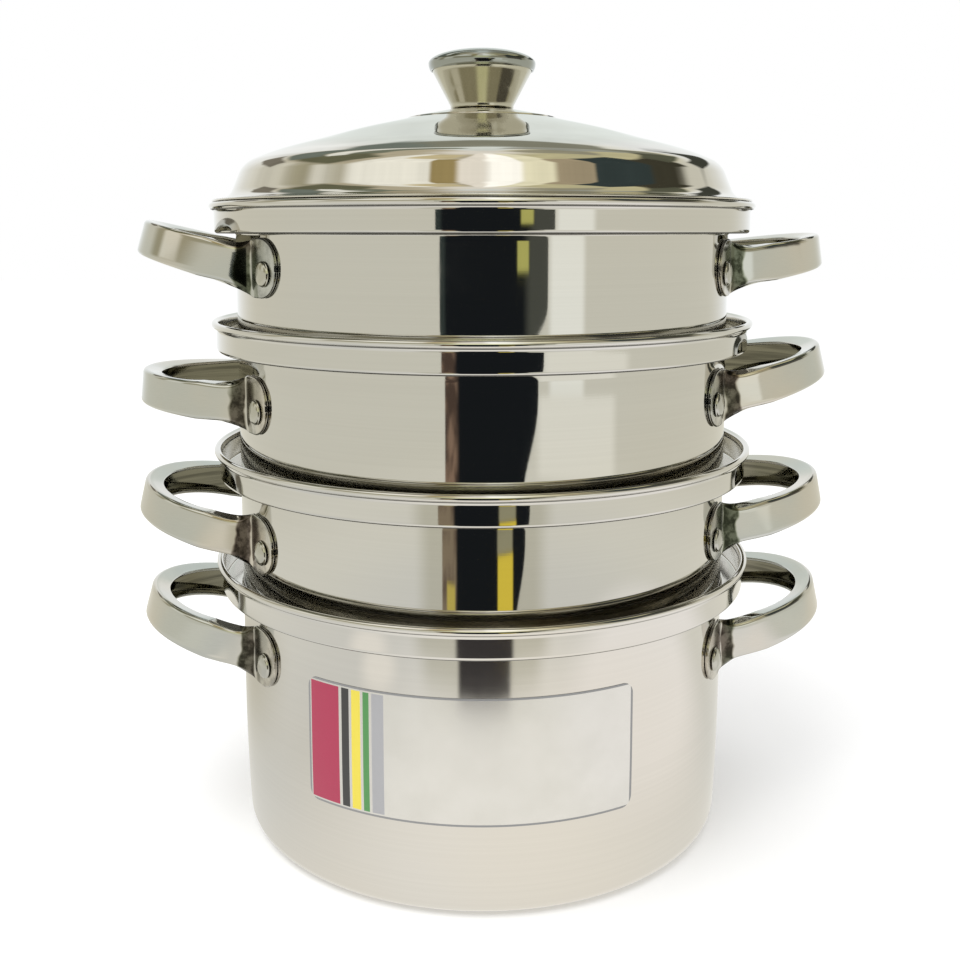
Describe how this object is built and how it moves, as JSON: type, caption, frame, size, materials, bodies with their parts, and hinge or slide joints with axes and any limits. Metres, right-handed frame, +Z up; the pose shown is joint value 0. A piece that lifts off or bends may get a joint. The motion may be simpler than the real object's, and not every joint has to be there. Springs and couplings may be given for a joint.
{
  "type": "momo steamer",
  "caption": "Round steel steaming stack: a deep boiling pot, perforated tiers nested in stepped mouths, riveted strap handles and a domed lid with a hollow knob.",
  "frame": {"origin": "centre of the pot's flat base", "axes": "+Z up along the stack's axis; the handles lie near the X axis, the front faces -Y"},
  "size_m": [0.3432, 0.2644, 0.3771],
  "materials": {
    "vessel_steel": "mirror polished stainless steel",
    "strap_steel": "bright polished stainless steel strap",
    "rivet_steel": "satin steel rivet",
    "lid_steel": "mirror polished stainless steel",
    "knob_steel": "mirror polished stainless steel",
    "fastener_steel": "plain steel fastener"
  },
  "bodies": {
    "pot": {"base_pot": "vessel_steel", "pot_handle_left": "strap_steel", "pot_rivet_left_front": "rivet_steel", "pot_rivet_left_back": "rivet_steel", "pot_handle_right": "strap_steel", "pot_rivet_right_front": "rivet_steel", "pot_rivet_right_back": "rivet_steel"},
    "tier_lower": {"steamer_tier_lower": "vessel_steel", "tier_lower_handle_left": "strap_steel", "tier_lower_rivet_left_front": "rivet_steel", "tier_lower_rivet_left_back": "rivet_steel", "tier_lower_handle_right": "strap_steel", "tier_lower_rivet_right_front": "rivet_steel", "tier_lower_rivet_right_back": "rivet_steel"},
    "tier_middle": {"steamer_tier_middle": "vessel_steel", "tier_middle_handle_left": "strap_steel", "tier_middle_rivet_left_front": "rivet_steel", "tier_middle_rivet_left_back": "rivet_steel", "tier_middle_handle_right": "strap_steel", "tier_middle_rivet_right_front": "rivet_steel", "tier_middle_rivet_right_back": "rivet_steel"},
    "tier_upper": {"steamer_tier_upper": "vessel_steel", "tier_upper_handle_left": "strap_steel", "tier_upper_rivet_left_front": "rivet_steel", "tier_upper_rivet_left_back": "rivet_steel", "tier_upper_handle_right": "strap_steel", "tier_upper_rivet_right_front": "rivet_steel", "tier_upper_rivet_right_back": "rivet_steel"},
    "lid": {"lid": "lid_steel", "knob_body": "knob_steel", "knob_cap": "knob_steel", "knob_washer": "fastener_steel", "knob_screw": "fastener_steel"}
  },
  "joints": [
    {"name": "tier_lower_lift", "type": "slide", "parent": "pot", "child": "tier_lower", "axis": [0, 0, 1], "range_m": [0, 0.12]},
    {"name": "tier_middle_lift", "type": "slide", "parent": "tier_lower", "child": "tier_middle", "axis": [0, 0, 1], "range_m": [0, 0.12]},
    {"name": "tier_upper_lift", "type": "slide", "parent": "tier_middle", "child": "tier_upper", "axis": [0, 0, 1], "range_m": [0, 0.12]},
    {"name": "lid_lift", "type": "slide", "parent": "tier_upper", "child": "lid", "axis": [0, 0, 1], "range_m": [0, 0.12]}
  ]
}
